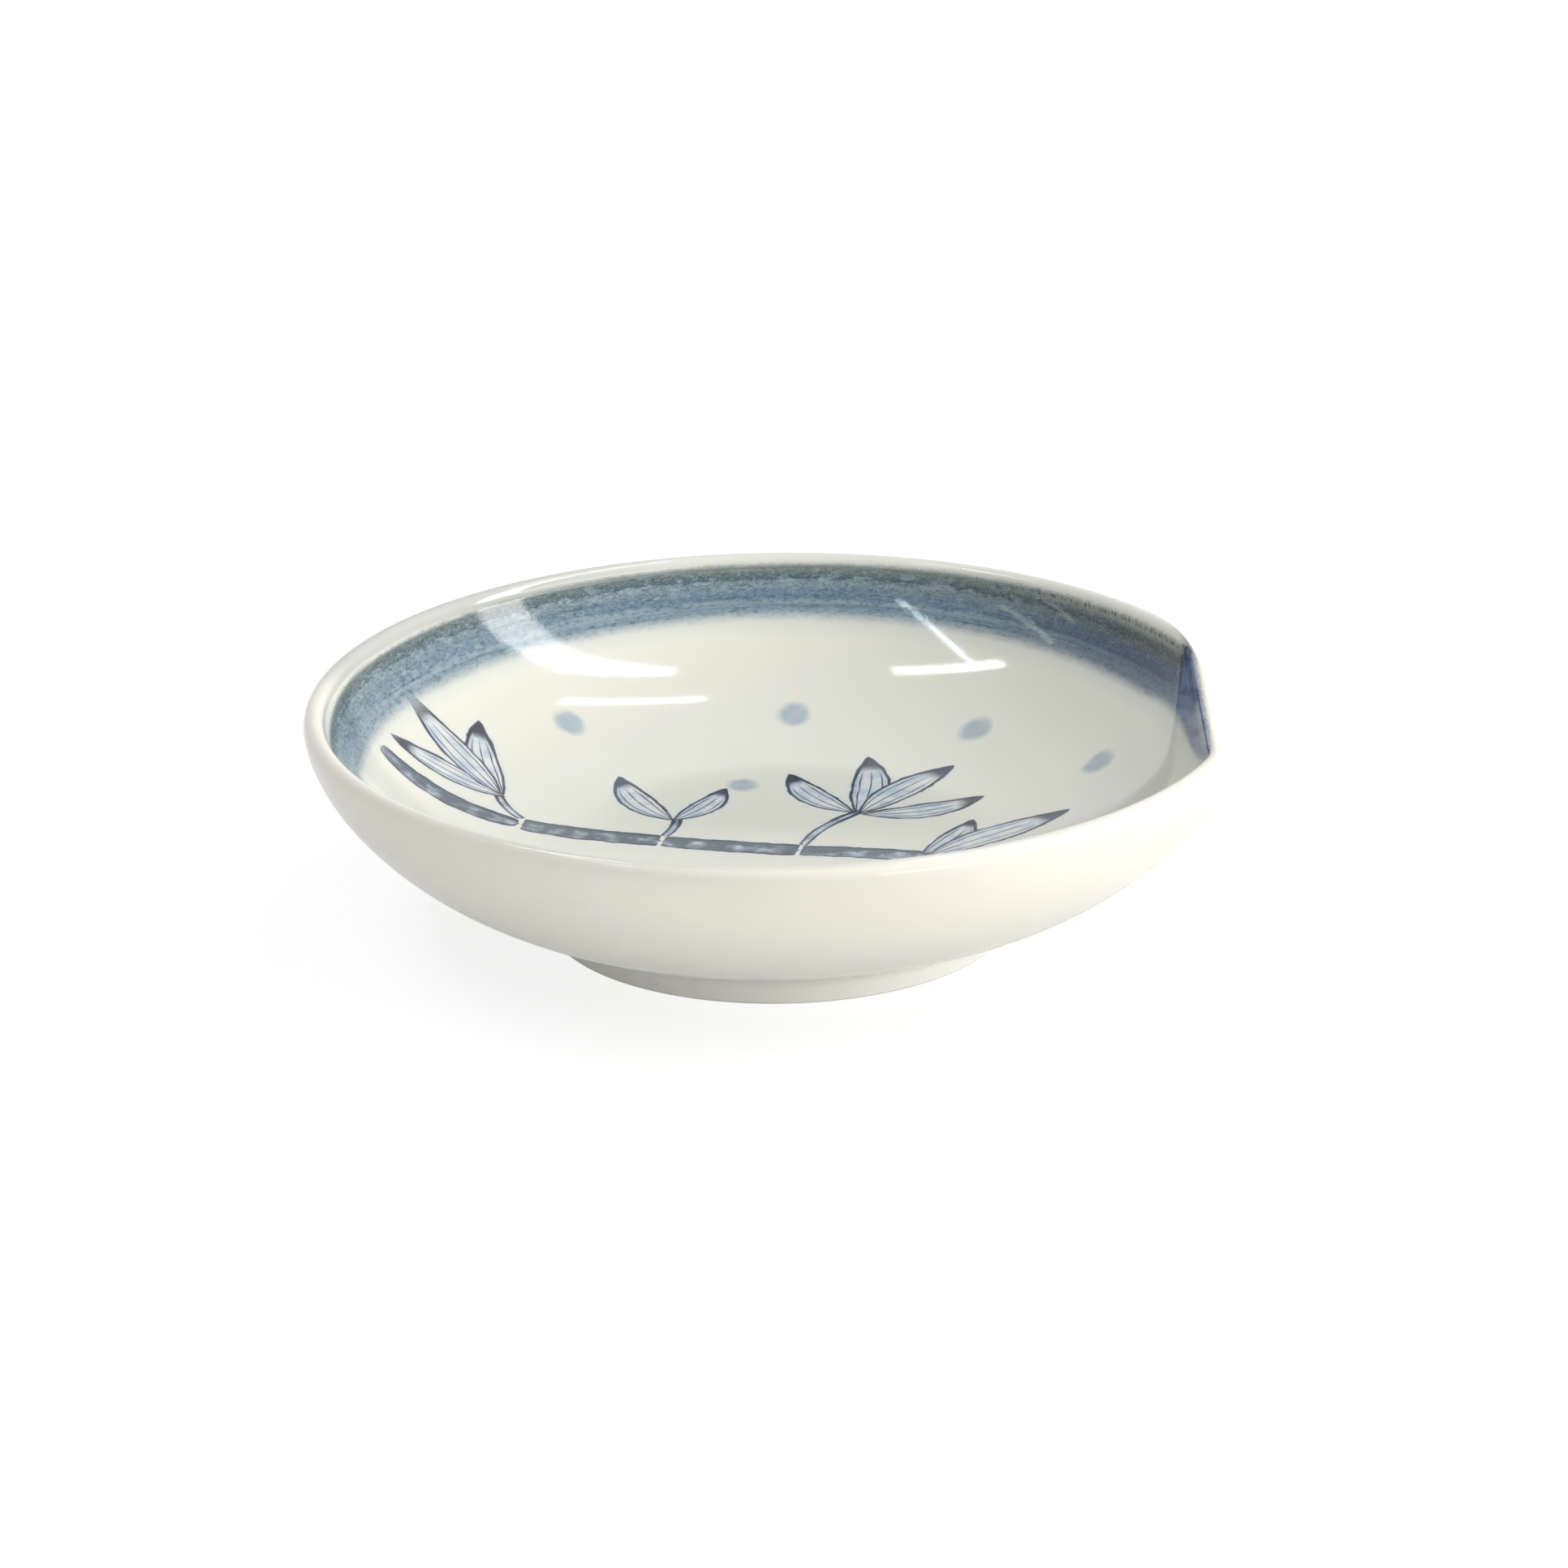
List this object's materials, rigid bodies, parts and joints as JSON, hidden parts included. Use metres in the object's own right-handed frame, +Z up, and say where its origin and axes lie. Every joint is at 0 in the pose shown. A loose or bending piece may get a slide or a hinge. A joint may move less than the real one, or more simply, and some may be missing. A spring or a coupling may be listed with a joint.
{
  "type": "soy sauce dish",
  "caption": "Small round porcelain dish on a foot ring, with a rounded lip and a pressed-in side, for soy sauce or another dip.",
  "frame": {"origin": "centre of the plane that the foot rests on, on the axis of the round rim", "axes": "+Z up along the dish's axis; the pressed-in side faces 42 degrees from +X towards +Y"},
  "size_m": [0.105, 0.105, 0.026],
  "materials": {
    "porcelain": "fired porcelain body, matt where it is bare",
    "foot_porcelain": "fired porcelain, bare and matt on the resting ring",
    "glaze": "clear gloss glaze over a brushed blue band and brush painting"
  },
  "bodies": {
    "root": {"bowl": "porcelain", "foot_ring": "foot_porcelain", "glaze_coat": "glaze"}
  },
  "joints": []
}
